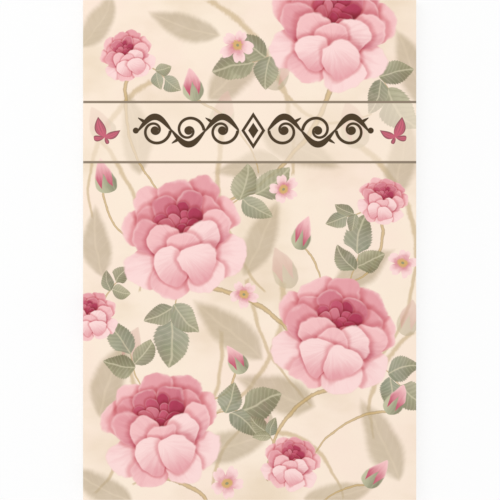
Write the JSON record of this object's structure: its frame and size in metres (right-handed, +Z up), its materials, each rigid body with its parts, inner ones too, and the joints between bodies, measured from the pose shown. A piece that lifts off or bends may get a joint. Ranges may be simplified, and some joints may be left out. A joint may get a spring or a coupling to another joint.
{
  "type": "address book",
  "caption": "Perfect-bound paperback address book: wraparound card cover with hinged front and back panels, glued spine and index leaves that fan open.",
  "frame": {"origin": "middle of the back cover's outer face, on which the closed book lies", "axes": "+Z up through the front cover, +Y along the spine towards the head of the page, +X from the spine to the fore edge"},
  "size_m": [0.1524, 0.2286, 0.007],
  "materials": {
    "cover_card": "matte film",
    "page_paper": "uncoated",
    "hot_melt": "satin"
  },
  "bodies": {
    "binding": {"spine_cover": "cover_card", "spine_glue": "hot_melt", "notes_leaves": "page_paper"},
    "back_cover": {"back_cover": "cover_card"},
    "front_leaves": {"title_leaf": "page_paper", "owner_leaf": "page_paper"},
    "front_cover": {"front_cover": "cover_card"},
    "letter_a": {"letter_a": "page_paper"},
    "letter_b": {"letter_b": "page_paper"},
    "letter_c": {"letter_c": "page_paper"},
    "letter_d": {"letter_d": "page_paper"},
    "letter_e": {"letter_e": "page_paper"},
    "letter_f": {"letter_f": "page_paper"},
    "letter_g": {"letter_g": "page_paper"},
    "letter_h": {"letter_h": "page_paper"},
    "letter_i": {"letter_i": "page_paper"},
    "letter_j": {"letter_j": "page_paper"},
    "letter_k": {"letter_k": "page_paper"},
    "letter_l": {"letter_l": "page_paper"},
    "letter_m": {"letter_m": "page_paper"},
    "letter_n": {"letter_n": "page_paper"},
    "letter_o": {"letter_o": "page_paper"},
    "letter_p": {"letter_p": "page_paper"},
    "letter_q": {"letter_q": "page_paper"},
    "letter_r": {"letter_r": "page_paper"},
    "letter_s": {"letter_s": "page_paper"},
    "letter_t": {"letter_t": "page_paper"},
    "letter_u": {"letter_u": "page_paper"},
    "letter_v": {"letter_v": "page_paper"},
    "letter_w": {"letter_w": "page_paper"},
    "letter_x": {"letter_x": "page_paper"},
    "letter_y": {"letter_y": "page_paper"},
    "letter_z": {"letter_z": "page_paper"}
  },
  "joints": [
    {"name": "back_cover_hinge", "type": "hinge", "parent": "binding", "child": "back_cover", "pos_m": [-0.0762, 0, 0], "axis": [0, 1, 0], "range_deg": [0, 179.9]},
    {"name": "leaf_fan", "type": "hinge", "parent": "binding", "child": "front_leaves", "pos_m": [-0.0762, 0, 0.00348], "axis": [0, -1, 0], "range_deg": [0, 170], "deforming": ["spine_cover", "spine_glue"]},
    {"name": "front_cover_hinge", "type": "hinge", "parent": "front_leaves", "child": "front_cover", "pos_m": [-0.0758, 0, 0.00697], "axis": [0, -1, 0], "range_deg": [0, 179.9]},
    {"name": "letter_a_turn", "type": "hinge", "parent": "binding", "child": "letter_a", "pos_m": [-0.0762, 0, 0.00348], "axis": [0, -1, 0], "range_deg": [0, 168.64]},
    {"name": "letter_b_turn", "type": "hinge", "parent": "binding", "child": "letter_b", "pos_m": [-0.0762, 0, 0.00348], "axis": [0, -1, 0], "range_deg": [0, 166.23]},
    {"name": "letter_c_turn", "type": "hinge", "parent": "binding", "child": "letter_c", "pos_m": [-0.0762, 0, 0.00348], "axis": [0, -1, 0], "range_deg": [0, 162.75]},
    {"name": "letter_d_turn", "type": "hinge", "parent": "binding", "child": "letter_d", "pos_m": [-0.0762, 0, 0.00348], "axis": [0, -1, 0], "range_deg": [0, 158.29]},
    {"name": "letter_e_turn", "type": "hinge", "parent": "binding", "child": "letter_e", "pos_m": [-0.0762, 0, 0.00348], "axis": [0, -1, 0], "range_deg": [0, 152.95]},
    {"name": "letter_f_turn", "type": "hinge", "parent": "binding", "child": "letter_f", "pos_m": [-0.0762, 0, 0.00348], "axis": [0, -1, 0], "range_deg": [0, 146.82]},
    {"name": "letter_g_turn", "type": "hinge", "parent": "binding", "child": "letter_g", "pos_m": [-0.0762, 0, 0.00348], "axis": [0, -1, 0], "range_deg": [0, 139.99]},
    {"name": "letter_h_turn", "type": "hinge", "parent": "binding", "child": "letter_h", "pos_m": [-0.0762, 0, 0.00348], "axis": [0, -1, 0], "range_deg": [0, 132.56]},
    {"name": "letter_i_turn", "type": "hinge", "parent": "binding", "child": "letter_i", "pos_m": [-0.0762, 0, 0.00348], "axis": [0, -1, 0], "range_deg": [0, 124.62]},
    {"name": "letter_j_turn", "type": "hinge", "parent": "binding", "child": "letter_j", "pos_m": [-0.0762, 0, 0.00348], "axis": [0, -1, 0], "range_deg": [0, 116.26]},
    {"name": "letter_k_turn", "type": "hinge", "parent": "binding", "child": "letter_k", "pos_m": [-0.0762, 0, 0.00348], "axis": [0, -1, 0], "range_deg": [0, 107.58]},
    {"name": "letter_l_turn", "type": "hinge", "parent": "binding", "child": "letter_l", "pos_m": [-0.0762, 0, 0.00348], "axis": [0, -1, 0], "range_deg": [0, 98.66]},
    {"name": "letter_m_turn", "type": "hinge", "parent": "binding", "child": "letter_m", "pos_m": [-0.0762, 0, 0.00348], "axis": [0, -1, 0], "range_deg": [0, 89.6]},
    {"name": "letter_n_turn", "type": "hinge", "parent": "binding", "child": "letter_n", "pos_m": [-0.0762, 0, 0.00348], "axis": [0, -1, 0], "range_deg": [0, 80.5]},
    {"name": "letter_o_turn", "type": "hinge", "parent": "binding", "child": "letter_o", "pos_m": [-0.0762, 0, 0.00348], "axis": [0, -1, 0], "range_deg": [0, 71.44]},
    {"name": "letter_p_turn", "type": "hinge", "parent": "binding", "child": "letter_p", "pos_m": [-0.0762, 0, 0.00348], "axis": [0, -1, 0], "range_deg": [0, 62.52]},
    {"name": "letter_q_turn", "type": "hinge", "parent": "binding", "child": "letter_q", "pos_m": [-0.0762, 0, 0.00348], "axis": [0, -1, 0], "range_deg": [0, 53.84]},
    {"name": "letter_r_turn", "type": "hinge", "parent": "binding", "child": "letter_r", "pos_m": [-0.0762, 0, 0.00348], "axis": [0, -1, 0], "range_deg": [0, 45.48]},
    {"name": "letter_s_turn", "type": "hinge", "parent": "binding", "child": "letter_s", "pos_m": [-0.0762, 0, 0.00348], "axis": [0, -1, 0], "range_deg": [0, 37.54]},
    {"name": "letter_t_turn", "type": "hinge", "parent": "binding", "child": "letter_t", "pos_m": [-0.0762, 0, 0.00348], "axis": [0, -1, 0], "range_deg": [0, 30.11]},
    {"name": "letter_u_turn", "type": "hinge", "parent": "binding", "child": "letter_u", "pos_m": [-0.0762, 0, 0.00348], "axis": [0, -1, 0], "range_deg": [0, 23.28]},
    {"name": "letter_v_turn", "type": "hinge", "parent": "binding", "child": "letter_v", "pos_m": [-0.0762, 0, 0.00348], "axis": [0, -1, 0], "range_deg": [0, 17.15]},
    {"name": "letter_w_turn", "type": "hinge", "parent": "binding", "child": "letter_w", "pos_m": [-0.0762, 0, 0.00348], "axis": [0, -1, 0], "range_deg": [0, 11.81]},
    {"name": "letter_x_turn", "type": "hinge", "parent": "binding", "child": "letter_x", "pos_m": [-0.0762, 0, 0.00348], "axis": [0, -1, 0], "range_deg": [0, 7.35]},
    {"name": "letter_y_turn", "type": "hinge", "parent": "binding", "child": "letter_y", "pos_m": [-0.0762, 0, 0.00348], "axis": [0, -1, 0], "range_deg": [0, 3.87]},
    {"name": "letter_z_turn", "type": "hinge", "parent": "binding", "child": "letter_z", "pos_m": [-0.0762, 0, 0.00348], "axis": [0, -1, 0], "range_deg": [0, 1.46]}
  ],
  "couplings": [
    {"joint": "letter_a_turn", "follows": "leaf_fan", "ratio": 0.9917},
    {"joint": "letter_b_turn", "follows": "leaf_fan", "ratio": 0.97751},
    {"joint": "letter_c_turn", "follows": "leaf_fan", "ratio": 0.95703},
    {"joint": "letter_d_turn", "follows": "leaf_fan", "ratio": 0.93081},
    {"joint": "letter_e_turn", "follows": "leaf_fan", "ratio": 0.89941},
    {"joint": "letter_f_turn", "follows": "leaf_fan", "ratio": 0.86335},
    {"joint": "letter_g_turn", "follows": "leaf_fan", "ratio": 0.82319},
    {"joint": "letter_h_turn", "follows": "leaf_fan", "ratio": 0.77948},
    {"joint": "letter_i_turn", "follows": "leaf_fan", "ratio": 0.73277},
    {"joint": "letter_j_turn", "follows": "leaf_fan", "ratio": 0.68359},
    {"joint": "letter_k_turn", "follows": "leaf_fan", "ratio": 0.63251},
    {"joint": "letter_l_turn", "follows": "leaf_fan", "ratio": 0.58005},
    {"joint": "letter_m_turn", "follows": "leaf_fan", "ratio": 0.52677},
    {"joint": "letter_n_turn", "follows": "leaf_fan", "ratio": 0.47323},
    {"joint": "letter_o_turn", "follows": "leaf_fan", "ratio": 0.41995},
    {"joint": "letter_p_turn", "follows": "leaf_fan", "ratio": 0.36749},
    {"joint": "letter_q_turn", "follows": "leaf_fan", "ratio": 0.31641},
    {"joint": "letter_r_turn", "follows": "leaf_fan", "ratio": 0.26723},
    {"joint": "letter_s_turn", "follows": "leaf_fan", "ratio": 0.22052},
    {"joint": "letter_t_turn", "follows": "leaf_fan", "ratio": 0.17681},
    {"joint": "letter_u_turn", "follows": "leaf_fan", "ratio": 0.13665},
    {"joint": "letter_v_turn", "follows": "leaf_fan", "ratio": 0.10059},
    {"joint": "letter_w_turn", "follows": "leaf_fan", "ratio": 0.06919},
    {"joint": "letter_x_turn", "follows": "leaf_fan", "ratio": 0.04297},
    {"joint": "letter_y_turn", "follows": "leaf_fan", "ratio": 0.02249},
    {"joint": "letter_z_turn", "follows": "leaf_fan", "ratio": 0.0083}
  ]
}
